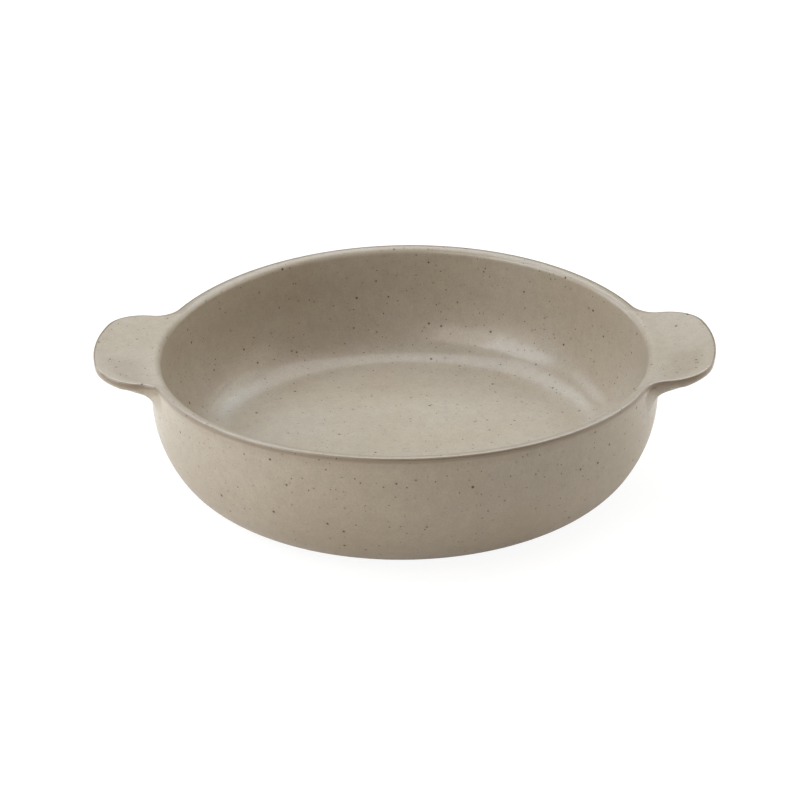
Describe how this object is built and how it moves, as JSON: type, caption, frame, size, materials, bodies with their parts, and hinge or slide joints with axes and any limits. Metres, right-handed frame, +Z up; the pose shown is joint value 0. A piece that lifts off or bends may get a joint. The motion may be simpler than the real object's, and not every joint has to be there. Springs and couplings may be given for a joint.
{
  "type": "baking dish",
  "caption": "Round deep baking dish with a curved heel, a rounded rim and flat lug handles on opposite sides, in speckled greige stoneware.",
  "frame": {"origin": "middle of the foot ring, on the table", "axes": "+X through the middle of both lugs, +Z up to the open rim"},
  "size_m": [0.292, 0.24, 0.065],
  "materials": {
    "glaze": "satin"
  },
  "bodies": {
    "root": {"dish": "glaze"}
  },
  "joints": []
}
